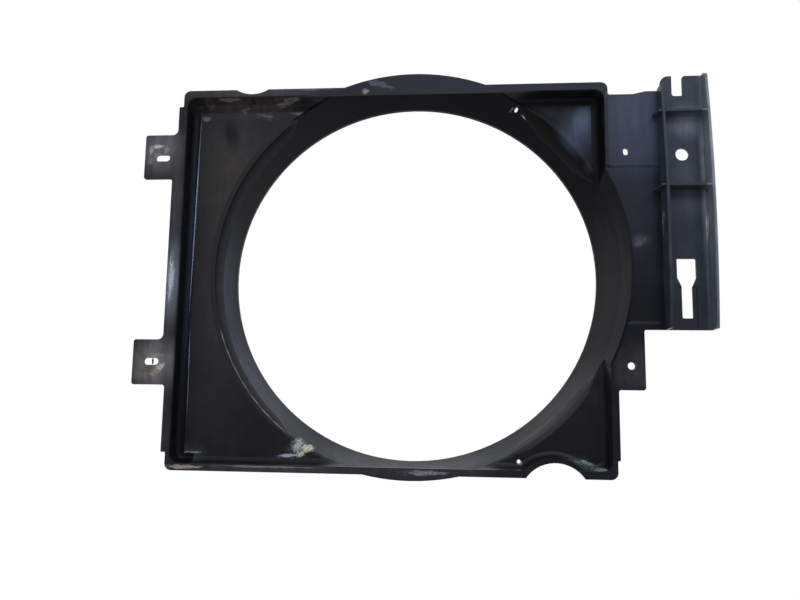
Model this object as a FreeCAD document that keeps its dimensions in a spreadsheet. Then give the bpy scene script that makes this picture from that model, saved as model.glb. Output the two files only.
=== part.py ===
"""Radiator fan shroud: one black moulding, modelled zone by zone.

Frame: the origin is on the fan's axis, in the mounting face of the flange.
+X points to the bottle channel, +Y from the radiator towards the engine, +Z up.
All lengths are millimetres, all angles degrees.
"""
import FreeCAD
import Part
import math
import os
import Sketcher

SIZES = {
    # fan ring: its opening, and how its inner radius grows towards the radiator
    "fan_opening_radius": 228.0,
    "ring_flare": 17.5,
    "rim_flare": 6.5,
    "ring_depth": 72.0,
    "ring_land": 6.0,
    "ring_chamfer": 1.2,
    # mouth of the plenum box: how far its edges lie from the ring's foot
    "left_margin": 37.5,
    "right_overlap": 19.5,
    "top_overlap": 28.0,
    "bottom_overlap": 11.5,
    "mouth_corner_radius": 12.0,
    # mounting flange round the mouth
    "flange_thickness": 3.0,
    "left_brim": 10.0,
    "right_brim": 4.0,
    "lower_right_brim": 8.5,
    "top_brim": 8.8,
    "bottom_brim": 8.3,
    "flange_corner_radius": 8.0,
    "corner_step": 5.5,
    "corner_step_height": 21.0,
    "right_corner_step": 3.0,
    "step_radius": 1.4,
    "edge_strip_width": 4.5,
    "top_bulge_drop": 3.5,
    "bottom_bulge_rise": 3.0,
    "dip_from_left": 92.0,
    "dip_depth": 5.8,
    "dip_radius": 37.4,
    # plenum walls and floor
    "wall_thickness": 3.0,
    "plenum_depth": 20.0,
    "wall_draft": 3.0,
    "base_fillet": 7.0,
    "panel_seam": 1.5,
    "collar_margin": 13.0,
    # raised bead where the floor turns into the ring
    "bead_crest_inset": 0.6,
    "bead_crest_width": 2.2,
    "bead_height": 1.6,
    "bead_slope_width": 2.0,
    "bead_foot_inset": 4.5,
    "left_bead_start": 127.0,
    "left_bead_end": 233.1,
    "lower_bead_start": 298.5,
    "lower_bead_end": 328.0,
    # soft shoulder of the upper right pocket
    "shoulder_inset": 5.0,
    "shoulder_foot_inset": 10.0,
    "shoulder_start": 27.0,
    "shoulder_end": 57.5,
    # drain holes in the corners of the right-hand pockets
    "drain_diameter": 4.5,
    "upper_drain_from_right": 99.8,
    "upper_drain_from_top": 9.8,
    "lower_drain_from_right": 101.4,
    "lower_drain_from_bottom": 9.5,
    # gussets behind the floor
    "gusset_thickness": 2.5,
    "gusset_reach": 20.0,
    "gusset_height": 28.0,
    # hose arch in the bottom wall
    "arch_from_right": 63.0,
    "arch_below_mouth": 31.0,
    "arch_radius": 40.0,
    "arch_band": 5.0,
    "arch_zone": 50.0,
    # radiator mounting tabs
    "tab_thickness": 3.0,
    "tab_reach": 36.0,
    "tab_root_width": 4.0,
    "tab_root_margin": 9.0,
    "tab_corner_radius": 3.0,
    "tab_top_blend": 7.0,
    "tab_bottom_blend": 3.5,
    "upper_row_from_top": 78.5,
    "lower_row_from_bottom": 119.5,
    "upper_tab_rise": 29.7,
    "upper_tab_fall": 26.8,
    "lower_tab_rise": 26.5,
    "lower_tab_fall": 27.7,
    "slot_from_strip": 13.0,
    "slot_length": 17.7,
    "slot_width": 8.4,
    "hole_from_flange": 19.0,
    "bolt_hole_diameter": 8.5,
    "locating_slot_width": 5.8,
    "locating_slot_height": 8.6,
    "right_tab_width": 34.3,
    "right_tab_fall": 27.5,
    "right_tab_rise": 41.5,
    "inner_corner_radius": 2.5,
    "corner_root": 3.0,
    "mark_diameter": 3.0,
    "mark_depth": 0.5,
    "mark_from_hole": 5.6,
    "mark_below_hole": 17.5,
    # side plate between the box and the bottle channel
    "plate_below_mouth_top": 7.1,
    "plate_rise": 3.2,
    "plate_rise_start": 29.0,
    "plate_rise_length": 15.0,
    "plate_recess_depth": 1.4,
    "recess_below_upper_row": 19.0,
    "recess_above_plate_bottom": 10.0,
    "plate_recess_slope": 3.6,
    "recess_overlap": 10.0,
    # bottle channel
    "plate_width": 58.0,
    "channel_width": 53.0,
    "channel_above_mouth_top": 14.3,
    "channel_wall": 3.0,
    "channel_height_bottom": 15.5,
    "channel_height_top": 11.0,
    "channel_bow_radius": 1500.0,
    "inner_wall_drop": 14.8,
    "wall_end_radius": 8.0,
    "finger_radius": 9.0,
    "notch_from_left": 16.0,
    "notch_width": 12.4,
    "notch_depth": 25.0,
    "notch_corner_radius": 3.0,
    "channel_hole_diameter": 15.0,
    "channel_hole_below_row": 4.3,
    "keyhole_from_left": 25.3,
    "keyhole_wide": 21.5,
    "keyhole_narrow": 11.8,
    "keyhole_from_bottom": 13.5,
    "keyhole_narrow_length": 36.0,
    "keyhole_taper": 10.9,
    "keyhole_wide_length": 22.4,
    "keyhole_radius": 1.5,
    "track_depth": 1.2,
    "rib_thickness": 2.6,
    "upper_rib_from_top": 49.3,
    "rib_spacing": 90.5,
    "upper_rib_depth": 15.5,
    "lower_rib_depth": 18.5,
    "rib_gusset_reach": 4.5,
    "rib_gusset_foot": 3.0,
}

GUSSET_ANGLES = (45.0, 150.0, 180.0, 210.0, 315.0)

# room by which a cutting form reaches past the wall it cuts
CLEAR = 40.0

doc = FreeCAD.newDocument("fan_shroud")
sheet = doc.addObject("Spreadsheet::Sheet", "sizes")


class Size:
    """A number together with the spreadsheet formula that gives it."""

    def __init__(self, value, formula):
        self.value = value
        self.formula = formula

    def __add__(self, other):
        other = as_size(other)
        return Size(self.value + other.value, f"({self.formula} + {other.formula})")

    def __sub__(self, other):
        other = as_size(other)
        return Size(self.value - other.value, f"({self.formula} - {other.formula})")

    def __rsub__(self, other):
        return as_size(other) - self

    def __mul__(self, other):
        other = as_size(other)
        return Size(self.value * other.value, f"({self.formula} * {other.formula})")

    def __truediv__(self, other):
        other = as_size(other)
        return Size(self.value / other.value, f"({self.formula} / {other.formula})")

    def __neg__(self):
        return Size(-self.value, f"(0 - {self.formula})")

    __radd__ = __add__
    __rmul__ = __mul__


def as_size(number):
    if isinstance(number, Size):
        return number
    return Size(float(number), f"{float(number):.6f}")


def fill_sheet():
    """Writes the driving sizes into the sheet and hands them back by name."""
    named = {}
    for row, (name, value) in enumerate(SIZES.items(), start=1):
        sheet.set(f"A{row}", name)
        sheet.set(f"B{row}", str(value))
        sheet.setAlias(f"B{row}", name)
        named[name] = Size(value, f"<<sizes>>.{name}")
    doc.recompute()
    return named


def bind(thing, **properties):
    """Binds properties to formulas; a plain number is bound as it is."""
    for name, size in properties.items():
        size = as_size(size)
        setattr(thing, name, size.value)
        thing.setExpression(name, size.formula)


def values(spots):
    """The bare numbers of some bound (x, z) spots."""
    return [(as_size(x).value, as_size(z).value) for x, z in spots]


def place(thing, x=0.0, y=0.0, z=0.0):
    """Moves a form or a sub-part to a bound position."""
    position = [as_size(x), as_size(y), as_size(z)]
    thing.Placement.Base = FreeCAD.Vector(*[size.value for size in position])
    for axis, size in zip("xyz", position):
        thing.setExpression(f"Placement.Base.{axis}", size.formula)


def box(name, x, y, z):
    """A block between two bounds along each axis."""
    block = doc.addObject("Part::Box", name)
    bind(block, Length=x[1] - x[0], Width=y[1] - y[0], Height=z[1] - z[0])
    place(block, x[0], y[0], z[0])
    return block


def cone(name, front_radius, rear_radius, y, x=0.0, z=0.0):
    """A frustum about a line along Y; equal radii make it a cylinder."""
    front_radius, rear_radius = as_size(front_radius), as_size(rear_radius)
    length = as_size(y[1]) - y[0]
    if front_radius.formula == rear_radius.formula:
        round_form = doc.addObject("Part::Cylinder", name)
        bind(round_form, Radius=front_radius, Height=length)
    else:
        round_form = doc.addObject("Part::Cone", name)
        bind(round_form, Radius1=front_radius, Radius2=rear_radius, Height=length)
    round_form.Placement.Rotation = FreeCAD.Rotation(FreeCAD.Vector(1, 0, 0), -90)
    place(round_form, x, y[0], z)
    return round_form


def cut(name, base, tool):
    result = doc.addObject("Part::Cut", name)
    result.Base = base
    result.Tool = tool
    return result


def fuse(name, *forms):
    result = doc.addObject("Part::MultiFuse", name)
    result.Shapes = list(forms)
    result.Refine = True
    return result


def common(name, *forms):
    result = doc.addObject("Part::MultiCommon", name)
    result.Shapes = list(forms)
    return result


def carve(name, base, *tools):
    """Cuts one tool after another; the last cut carries the sub-part's name."""
    for number, tool in enumerate(tools[:-1], start=1):
        base = cut(f"{name}_cut_{number}", base, tool)
    return cut(name, base, tools[-1])


def new_body(name):
    return doc.addObject("PartDesign::Body", name)


def origin_plane(body, role):
    return next(item for item in body.Origin.OriginFeatures if item.Role == role)


def sketch_on(body, role, offset=None):
    """A sketch on one of the body's own origin planes, moved along its normal."""
    sketch = body.newObject("Sketcher::SketchObject", f"{body.Name}_sketch")
    sketch.AttachmentSupport = (origin_plane(body, role), [""])
    sketch.MapMode = "FlatFace"
    if offset is not None:
        offset = as_size(offset)
        sketch.AttachmentOffset.Base.z = offset.value
        sketch.setExpression("AttachmentOffset.Base.z", offset.formula)
    return sketch


def hold(sketch, kind, first, second, size):
    """Adds a dimension whose value follows a formula."""
    number = sketch.addConstraint(Sketcher.Constraint(kind, *first, *second, size.value))
    sketch.setExpression(f"Constraints[{number}]", size.formula)


def outline(sketch, points, crest=None, crest_radius=None):
    """A closed outline through bound points; the side after point number crest is an arc."""
    points = [(as_size(across), as_size(along)) for across, along in points]
    corners = [FreeCAD.Vector(across.value, along.value, 0) for across, along in points]
    sides = []
    for number, corner in enumerate(corners):
        end = corners[(number + 1) % len(corners)]
        if number == crest:
            side = crest_arc(corner, end, crest_radius.value)
        else:
            side = Part.LineSegment(corner, end)
        sides.append(sketch.addGeometry(side))
    for number, side in enumerate(sides):
        following = sides[(number + 1) % len(sides)]
        sketch.addConstraint(Sketcher.Constraint("Coincident", side, 2, following, 1))
        hold(sketch, "DistanceX", (-1, 1), (side, 1), points[number][0])
        hold(sketch, "DistanceY", (-1, 1), (side, 1), points[number][1])
    if crest is not None:
        number = sketch.addConstraint(
            Sketcher.Constraint("Radius", sides[crest], crest_radius.value))
        sketch.setExpression(f"Constraints[{number}]", crest_radius.formula)


def crest_arc(start, end, radius):
    """The flat arc from start to end that bulges to the right of that direction."""
    middle = (start + end) * 0.5
    along = (end - start).normalize()
    side = FreeCAD.Vector(-along.y, along.x, 0)
    half = start.distanceToPoint(end) / 2
    centre = middle + side * math.sqrt(radius ** 2 - half ** 2)
    top = centre - side * radius
    return Part.Arc(start, top, end)


def pad(body, sketch, length, against_normal=False):
    """Pads a sketch; the upright plane's normal points away from the engine."""
    feature = body.newObject("PartDesign::Pad", f"{body.Name}_pad")
    feature.Profile = sketch
    feature.Reversed = against_normal
    bind(feature, Length=length)
    return feature


def plate(name, points, length):
    """A flat piece in the flange's plane, from its outline in X and Z."""
    body = new_body(name)
    sketch = sketch_on(body, "XZ_Plane")
    outline(sketch, points)
    pad(body, sketch, length, against_normal=True)
    return body


def pocket(body, sketch, depth=None):
    """Cuts a sketch out of a plate, right through unless a depth is given."""
    feature = body.newObject("PartDesign::Pocket", f"{body.Name}_pocket")
    feature.Profile = sketch
    if depth is None:
        feature.Type = "ThroughAll"
    else:
        bind(feature, Length=depth)
    return feature


def round_hole(body, x, z, diameter, depth=None):
    sketch = sketch_on(body, "XZ_Plane")
    x, z, diameter = as_size(x), as_size(z), as_size(diameter)
    centre = FreeCAD.Vector(x.value, z.value, 0)
    circle = sketch.addGeometry(
        Part.Circle(centre, FreeCAD.Vector(0, 0, 1), diameter.value / 2))
    hold(sketch, "DistanceX", (-1, 1), (circle, 3), x)
    hold(sketch, "DistanceY", (-1, 1), (circle, 3), z)
    number = sketch.addConstraint(Sketcher.Constraint("Diameter", circle, diameter.value))
    sketch.setExpression(f"Constraints[{number}]", diameter.formula)
    return pocket(body, sketch, depth)


def slotted_hole(body, x, z, length, width, upright=False):
    """A slot with round ends; length is measured end to end."""
    sketch = sketch_on(body, "XZ_Plane")
    x, z, radius = as_size(x), as_size(z), width / 2
    reach = (length - width) / 2
    turn = math.pi / 2 if upright else 0.0
    ends = []
    for side in (1, -1):
        across = x if upright else x + reach * side
        along = z + reach * side if upright else z
        centre = FreeCAD.Vector(across.value, along.value, 0)
        circle = Part.Circle(centre, FreeCAD.Vector(0, 0, 1), radius.value)
        middle = turn if side == 1 else turn + math.pi
        end = sketch.addGeometry(
            Part.ArcOfCircle(circle, middle - math.pi / 2, middle + math.pi / 2))
        hold(sketch, "DistanceX", (-1, 1), (end, 3), across)
        hold(sketch, "DistanceY", (-1, 1), (end, 3), along)
        number = sketch.addConstraint(Sketcher.Constraint("Radius", end, radius.value))
        sketch.setExpression(f"Constraints[{number}]", radius.formula)
        ends.append(end)
    for first, second in (ends, ends[::-1]):
        arcs = sketch.Geometry
        side = sketch.addGeometry(
            Part.LineSegment(arcs[first].EndPoint, arcs[second].StartPoint))
        sketch.addConstraint(Sketcher.Constraint("Tangent", first, 2, side, 1))
        sketch.addConstraint(Sketcher.Constraint("Tangent", side, 2, second, 1))
    return pocket(body, sketch)


def revolve(body, sketch, angle=None):
    """Revolves a half section about the fan's axis, evenly to both sides of it."""
    feature = body.newObject("PartDesign::Revolution", f"{body.Name}_revolution")
    feature.Profile = sketch
    feature.ReferenceAxis = (sketch, ["V_Axis"])
    if angle is not None:
        feature.Midplane = True
        bind(feature, Angle=angle)
    return feature


def turn_about_axis(body, angle):
    """Turns a sub-part about the fan's axis, anticlockwise as the radiator sees it."""
    body.Placement = FreeCAD.Placement(
        FreeCAD.Vector(), FreeCAD.Rotation(FreeCAD.Vector(0, -1, 0), angle.value))
    body.setExpression("Placement.Rotation.Angle", angle.formula)


def fillet(body, test, radius):
    """Rounds the edges of the body's tip that pass the test."""
    doc.recompute()
    tip = body.Tip
    names = [f"Edge{number}" for number, edge in enumerate(tip.Shape.Edges, start=1)
             if test(edge)]
    if not names:
        raise RuntimeError(f"{body.Name}: no edge to round")
    feature = body.newObject("PartDesign::Fillet", f"{body.Name}_fillet")
    feature.Base = (tip, names)
    bind(feature, Radius=radius)
    return feature


def depth_edge_near(*spots):
    """Tests for edges that run along Y at one of the (x, z) spots."""
    def test(edge):
        ends = [vertex.Point for vertex in edge.Vertexes]
        if len(ends) != 2 or abs(ends[0].y - ends[1].y) < 0.5:
            return False
        middle = (ends[0] + ends[1]) * 0.5
        return any(math.hypot(middle.x - x, middle.z - z) < 1.0 for x, z in spots)
    return test


def edge_at_depth(depth):
    """Tests for edges that lie in the plane at this depth."""
    def test(edge):
        bounds = edge.BoundBox
        return max(abs(bounds.YMin - depth), abs(bounds.YMax - depth)) < 0.01
    return test


def cross_edge_near(y, z):
    """Tests for edges that run along X past this depth and height."""
    def test(edge):
        ends = [vertex.Point for vertex in edge.Vertexes]
        if len(ends) != 2 or abs(ends[0].x - ends[1].x) < 0.5:
            return False
        return all(math.hypot(end.y - y, end.z - z) < 0.5 for end in ends)
    return test


S = fill_sheet()
wall = S["wall_thickness"]
flange_back = S["flange_thickness"]
panel_front = S["plenum_depth"]
panel_back = S["plenum_depth"] + wall
draft_rate = S["wall_draft"] / S["plenum_depth"]
panel_inset = S["wall_draft"] + S["base_fillet"] + S["panel_seam"]
corner_zone = S["mouth_corner_radius"] + panel_inset

# the ring's radii at its foot, in the plenum's floor, and at its rim, in the flange's face
ring_foot = S["fan_opening_radius"] + S["ring_flare"]
ring_foot_outer = ring_foot + wall
ring_rim = ring_foot + S["rim_flare"]
ring_rim_outer = ring_rim + wall
top_bulge = ring_foot - S["top_bulge_drop"]
bottom_bulge = ring_foot + S["bottom_bulge_rise"]
land_front = S["ring_depth"] - S["ring_land"]

# the mouth's edges and the flange's, as places in X and Z
mouth_left = -ring_foot - S["left_margin"]
mouth_right = ring_foot - S["right_overlap"]
mouth_top = ring_foot - S["top_overlap"]
mouth_bottom = S["bottom_overlap"] - ring_foot
flange_left = mouth_left - S["left_brim"]
strip_left = flange_left - S["edge_strip_width"]
flange_right = mouth_right + S["right_brim"]
flange_right_lower = mouth_right + S["lower_right_brim"]
flange_top = mouth_top + S["top_brim"]
flange_bottom = mouth_bottom - S["bottom_brim"]

# the mounting holes' rows and columns
upper_row = mouth_top - S["upper_row_from_top"]
lower_row = mouth_bottom + S["lower_row_from_bottom"]
slot_column = strip_left - S["slot_from_strip"]
hole_column = flange_right + S["hole_from_flange"]

# the hose arch, the side plate and the bottle channel
arch_x = mouth_right - S["arch_from_right"]
arch_z = mouth_bottom - S["arch_below_mouth"]
arch_foot_radius = S["arch_radius"] + S["arch_band"] + panel_inset
plate_top = mouth_top - S["plate_below_mouth_top"]
plate_bottom = lower_row + S["right_tab_rise"]
channel_left = flange_right + S["plate_width"]
channel_right = channel_left + S["channel_width"]
channel_top = mouth_top + S["channel_above_mouth_top"]
inner_wall_top = channel_top - S["inner_wall_drop"]
keyhole_x = channel_left + S["keyhole_from_left"]
upper_rib_z = channel_top - S["upper_rib_from_top"]
lower_rib_z = upper_rib_z - S["rib_spacing"]


def mouth_bounds(depth, grow=0.0):
    """Left, right, bottom and top of the mouth's inside at a depth, made larger by grow."""
    shrink = draft_rate * depth - grow
    return mouth_left + shrink, mouth_right - shrink, mouth_bottom + shrink, mouth_top - shrink


def drafted_block(name, front, back, grow, corner_radius):
    """A block that follows the mouth and narrows towards the engine."""
    body = new_body(name)
    wedge = body.newObject("PartDesign::AdditiveWedge", f"{name}_wedge")
    left, right, bottom, top = mouth_bounds(front, grow)
    bind(wedge, Xmin=left, Xmax=right, Zmin=bottom, Zmax=top, Ymin=front)
    left, right, bottom, top = mouth_bounds(back, grow)
    bind(wedge, X2min=left, X2max=right, Z2min=bottom, Z2max=top, Ymax=back)
    left, right, bottom, top = mouth_bounds((front + back) / 2, grow)
    spots = [(x.value, z.value) for x in (left, right) for z in (bottom, top)]
    fillet(body, depth_edge_near(*spots), corner_radius)
    return body


def drafted(front_radius, depth):
    """The radius of an upright round form that widens with the walls' draft."""
    return front_radius + draft_rate * depth


def make_air():
    """The space in the plenum: drafted, round in its corners, with the hose bump."""
    front = -flange_back
    block = drafted_block("air_block", front, panel_front, 0.0, S["mouth_corner_radius"])
    bump_radius = S["arch_radius"] + S["arch_band"]
    bump = cone("hose_bump", drafted(bump_radius, front), drafted(bump_radius, panel_front),
                (front, panel_front), arch_x, arch_z)
    body = new_body("plenum_air")
    body.BaseFeature = cut("air_with_bump", block, bump)
    doc.recompute()
    fillet(body, edge_at_depth(panel_front.value), S["base_fillet"])
    return body


def make_outside():
    """The plenum's outer form behind the flange."""
    corner = S["mouth_corner_radius"] + wall
    return drafted_block("plenum_outside", flange_back, panel_back, wall, corner)


def make_tunnel():
    """The way for the hose behind the flange, under the bump of the bottom wall."""
    inner = S["arch_radius"] + S["arch_band"] - wall
    back = panel_back + CLEAR
    return cone("hose_tunnel", drafted(inner, flange_back), drafted(inner, back),
                (flange_back, back), arch_x, arch_z)


def make_slab():
    """The plenum's flat floor inside the foot of its walls."""
    slab = box("floor_slab", (mouth_left + panel_inset, mouth_right - panel_inset),
               (panel_front, panel_back), (mouth_bottom + panel_inset, mouth_top - panel_inset))
    bump_foot = cone("bump_foot", arch_foot_radius, arch_foot_radius,
                     (panel_front - CLEAR, panel_back + CLEAR), arch_x, arch_z)
    return cut("floor_with_bump", slab, bump_foot)


def make_filled_ring():
    """The ring behind the floor, filled, for whatever has to end at its outside."""
    return cone("ring_filled", ring_foot_outer, S["fan_opening_radius"] + wall,
                (panel_front, land_front))


def filled_collar(name, radius, start, x, z):
    """A filled cone between the flange and the floor, on one side of the ring."""
    form = cone(f"{name}_cone", radius, ring_foot_outer, (start, panel_front))
    zone = box(f"{name}_zone", x, (start - CLEAR, panel_front + CLEAR), z)
    return common(name, form, zone)


def make_drain(name, x, z):
    return cone(name, S["drain_diameter"] / 2, S["drain_diameter"] / 2,
                (panel_front - CLEAR, panel_front + CLEAR), x, z)


def make_recess():
    """The shallow sunk field of the side plate, with a gentle slope at each end."""
    wedge = doc.addObject("Part::Wedge", "plate_recess")
    depth = S["plate_recess_depth"]
    left = flange_right - S["recess_overlap"]
    top = upper_row - S["recess_below_upper_row"]
    bottom = plate_bottom + S["recess_above_plate_bottom"]
    # the form starts as far in front of the face as it reaches behind it
    spread = S["plate_recess_slope"] + S["plate_recess_slope"]
    bind(wedge, Ymin=-depth, Ymax=depth, Xmin=left, Xmax=channel_left, X2min=left,
         X2max=channel_left, Zmin=bottom - spread, Zmax=top + spread, Z2min=bottom, Z2max=top)
    return wedge


def make_bulge(name, radius, near, far):
    """The part of a disc about the fan's axis that stands out past the mouth."""
    disc = cone(f"{name}_disc", radius, radius, (0.0, flange_back))
    zone = box(f"{name}_zone", (-radius, radius), (-CLEAR, flange_back + CLEAR), (near, far))
    return common(name, disc, zone)


def make_flange(air, flare, recess, neighbours):
    """The flat brim round the mouth, with its two bulges over the ring."""
    step_left = flange_left + S["corner_step"]
    step_right = flange_right_lower - S["right_corner_step"]
    step_top = flange_top - S["corner_step_height"]
    step_bottom = flange_bottom + S["corner_step_height"]
    tab_foot = lower_row - S["right_tab_fall"] - S["corner_root"]
    body = plate("brim", [
        (step_left, flange_top), (flange_right, flange_top), (flange_right, tab_foot),
        (flange_right_lower, tab_foot), (flange_right_lower, step_bottom),
        (step_right, step_bottom), (step_right, flange_bottom), (step_left, flange_bottom),
        (step_left, step_bottom), (flange_left, step_bottom), (flange_left, lower_row),
        (strip_left, lower_row), (strip_left, upper_row), (flange_left, upper_row),
        (flange_left, step_top), (step_left, step_top)], flange_back)
    corners = [(step_left, flange_top), (flange_right, flange_top),
               (step_right, flange_bottom), (step_left, flange_bottom)]
    fillet(body, depth_edge_near(*values(corners)), S["flange_corner_radius"])
    steps = [(flange_right_lower, step_bottom), (step_right, step_bottom),
             (flange_left, step_bottom), (step_left, step_bottom),
             (flange_left, step_top), (step_left, step_top)]
    fillet(body, depth_edge_near(*values(steps)), S["step_radius"])
    blank = fuse("brim_with_bulges", body,
                 make_bulge("top_bulge", top_bulge, mouth_top, mouth_top + CLEAR),
                 make_bulge("bottom_bulge", bottom_bulge, mouth_bottom - CLEAR, mouth_bottom))
    through = (-CLEAR, flange_back + CLEAR)
    dip = cone("brim_dip", S["dip_radius"], S["dip_radius"], through,
               flange_left + S["dip_from_left"], flange_top - S["dip_depth"] + S["dip_radius"])
    notch = cone("arch_notch", S["arch_radius"], S["arch_radius"], through, arch_x, arch_z)
    return carve("mouth_flange", blank, air, dip, notch, flare, recess, *neighbours)


def make_walls(air, slab, drain, fillings):
    """The plenum's walls with their filleted feet, parted in flat stretches."""
    shell = carve("plenum_walls", make_outside(), air, slab, make_tunnel(), drain, *fillings)
    far_left, far_right = mouth_left - CLEAR, mouth_right + CLEAR
    far_bottom, far_top = mouth_bottom - CLEAR, mouth_top + CLEAR
    left, right = mouth_left + corner_zone, mouth_right - corner_zone
    arch_left = arch_x - S["arch_zone"]
    depth = (0.0, panel_back + CLEAR)
    zones = {
        "left_wall": ((far_left, left), (far_bottom, far_top)),
        "top_wall_left": ((left, 0.0), (0.0, far_top)),
        "top_wall_right": ((0.0, right), (0.0, far_top)),
        "right_wall_upper": ((right, far_right), (0.0, far_top)),
        "right_wall_lower": ((right, far_right), (far_bottom, 0.0)),
        "hose_arch": ((arch_left, right), (far_bottom, 0.0)),
        "bottom_wall_right": ((0.0, arch_left), (far_bottom, 0.0)),
        "bottom_wall_left": ((left, 0.0), (far_bottom, 0.0)),
    }
    return [common(name, shell, box(f"{name}_zone", x, depth, z))
            for name, (x, z) in zones.items()]


def make_panels(slab, drain, ring_filled):
    """The flat floor, parted into the left field and the two right-hand pockets."""
    floor = carve("plenum_floor", slab, ring_filled, drain)
    left, right = mouth_left - CLEAR, mouth_right + CLEAR
    bottom, top = mouth_bottom - CLEAR, mouth_top + CLEAR
    depth = (0.0, panel_back + CLEAR)
    zones = {
        "back_panel": ((left, 0.0), (bottom, top)),
        "upper_right_pocket": ((0.0, right), (0.0, top)),
        "lower_right_pocket": ((0.0, right), (bottom, 0.0)),
    }
    return [common(name, floor, box(f"{name}_zone", x, depth, z))
            for name, (x, z) in zones.items()]


def half_section(name, points, angle=None):
    """A ring, or a stretch of one, from its section in radius and depth."""
    body = new_body(name)
    sketch = sketch_on(body, "XY_Plane")
    outline(sketch, points)
    revolve(body, sketch, angle)
    return body


def make_ring(drain):
    """The fan ring: a cone that ends in a short straight land round the blades."""
    inner, rear, chamfer = S["fan_opening_radius"], S["ring_depth"], S["ring_chamfer"]
    body = half_section("fan_ring_blank", [
        (ring_foot, panel_front), (ring_foot_outer, panel_front), (inner + wall, land_front),
        (inner + wall, rear), (inner + chamfer, rear), (inner, rear - chamfer),
        (inner, land_front)])
    return carve("fan_ring", body, drain)


def make_collar(name, filled, rim_radius, start, air):
    """The wall that joins the flange to the ring, outside the plenum's space."""
    space = cone(f"{name}_space", rim_radius - wall, ring_foot, (start, panel_front))
    return carve(name, filled, space, air)


def ring_depth_at(radius):
    """The depth at which the ring's inner face comes down to a radius."""
    run = land_front - panel_front
    return panel_front + run * (ring_foot - radius) / S["ring_flare"]


def stretch(name, points, start, end):
    """A stretch of the ring's edge between two angles from +X, towards +Z."""
    body = half_section(name, points, end - start)
    turn_about_axis(body, (start + end) / 2)
    return body


def make_bead(name, start, end):
    """The raised bead whose inner face drops steeply into the ring."""
    crest = ring_foot - S["bead_crest_inset"]
    shelf = crest + S["bead_crest_width"]
    top = panel_front - S["bead_height"]
    foot = ring_foot - S["bead_foot_inset"]
    return stretch(name, [
        (foot, ring_depth_at(foot)), (ring_foot, panel_front),
        (shelf + S["bead_slope_width"], panel_front), (shelf, top), (crest, top)], start, end)


def make_shoulder(drain):
    """The soft shoulder by which the upper right pocket runs into the ring."""
    edge = ring_foot - S["shoulder_inset"]
    foot = ring_foot - S["shoulder_foot_inset"]
    body = stretch("shoulder_blank", [
        (foot, ring_depth_at(foot)), (ring_foot, panel_front), (edge, panel_front)],
        S["shoulder_start"], S["shoulder_end"])
    return carve("pocket_shoulder", body, drain)


def make_gussets(ring_filled):
    """Upright webs behind the floor that stiffen the ring."""
    gussets = []
    for number, angle in enumerate(GUSSET_ANGLES, start=1):
        body = new_body(f"gusset_web_{number}")
        sketch = sketch_on(body, "XY_Plane", S["gusset_thickness"] / -2)
        inside = ring_foot_outer - S["gusset_reach"]
        outline(sketch, [
            (inside, panel_back), (ring_foot_outer + S["gusset_reach"], panel_back),
            (ring_foot_outer, panel_back + S["gusset_height"]),
            (inside, panel_back + S["gusset_height"])])
        pad(body, sketch, S["gusset_thickness"])
        turn_about_axis(body, as_size(angle))
        gussets.append(cut(f"ring_gusset_{number}", body, ring_filled))
    return gussets


def make_left_tab(name, row, rise, fall, edge_above, edge_below):
    """A mounting tab on the left edge, with its slot and its root in the flange."""
    end = strip_left - S["tab_reach"]
    seam = flange_left + S["tab_root_width"]
    margin = S["tab_root_margin"]
    top, bottom = row + rise, row - fall
    body = plate(name, [
        (end, bottom), (end, top), (edge_above, top), (edge_above, top + margin),
        (seam, top + margin), (seam, bottom - margin), (edge_below, bottom - margin),
        (edge_below, bottom)], S["tab_thickness"])
    fillet(body, depth_edge_near(*values([(end, bottom), (end, top)])), S["tab_corner_radius"])
    fillet(body, depth_edge_near(*values([(edge_above, top)])), S["tab_top_blend"])
    fillet(body, depth_edge_near(*values([(edge_below, bottom)])), S["tab_bottom_blend"])
    slotted_hole(body, slot_column, row, S["slot_length"], S["slot_width"])
    return body


def make_right_tab(flare):
    """The tab below the side plate, with its bolt hole and a moulded ring mark."""
    right = flange_right + S["right_tab_width"]
    top = plate_bottom - S["corner_root"]
    bottom = lower_row - S["right_tab_fall"]
    foot = bottom - S["corner_root"]
    body = plate("right_tab_blank", [
        (flange_right, foot), (flange_right_lower, foot), (flange_right_lower, bottom),
        (right, bottom), (right, top), (flange_right, top)], S["tab_thickness"])
    fillet(body, depth_edge_near(*values([(right, bottom)])), S["tab_corner_radius"])
    inner_corner = values([(flange_right_lower, bottom)])
    fillet(body, depth_edge_near(*inner_corner), S["inner_corner_radius"])
    round_hole(body, hole_column, lower_row, S["bolt_hole_diameter"])
    round_hole(body, hole_column + S["mark_from_hole"], lower_row - S["mark_below_hole"],
               S["mark_diameter"], S["mark_depth"])
    return carve("lower_right_tab", body, flare)


def make_side_plate(flare, recess):
    """The flat plate between the box and the channel, rooted in the flange at its top."""
    root = S["corner_root"]
    tab_right = flange_right + S["right_tab_width"]
    rise_start = flange_right + S["plate_rise_start"]
    rise_end = rise_start + S["plate_rise_length"]
    high = plate_top + S["plate_rise"]
    body = plate("side_plate_blank", [
        (flange_right, plate_bottom - root), (tab_right, plate_bottom - root),
        (tab_right, plate_bottom), (channel_left, plate_bottom), (channel_left, high),
        (rise_end, high), (rise_start, plate_top), (flange_right, plate_top),
        (flange_right, plate_top + root), (flange_right - root, plate_top + root),
        (flange_right - root, plate_top - root), (flange_right, plate_top - root)],
        flange_back)
    inner_corners = values([(tab_right, plate_bottom), (flange_right, plate_top)])
    fillet(body, depth_edge_near(*inner_corners), S["inner_corner_radius"])
    slotted_hole(body, hole_column, upper_row, S["locating_slot_height"],
                 S["locating_slot_width"], upright=True)
    return carve("side_plate", body, flare, recess)


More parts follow.
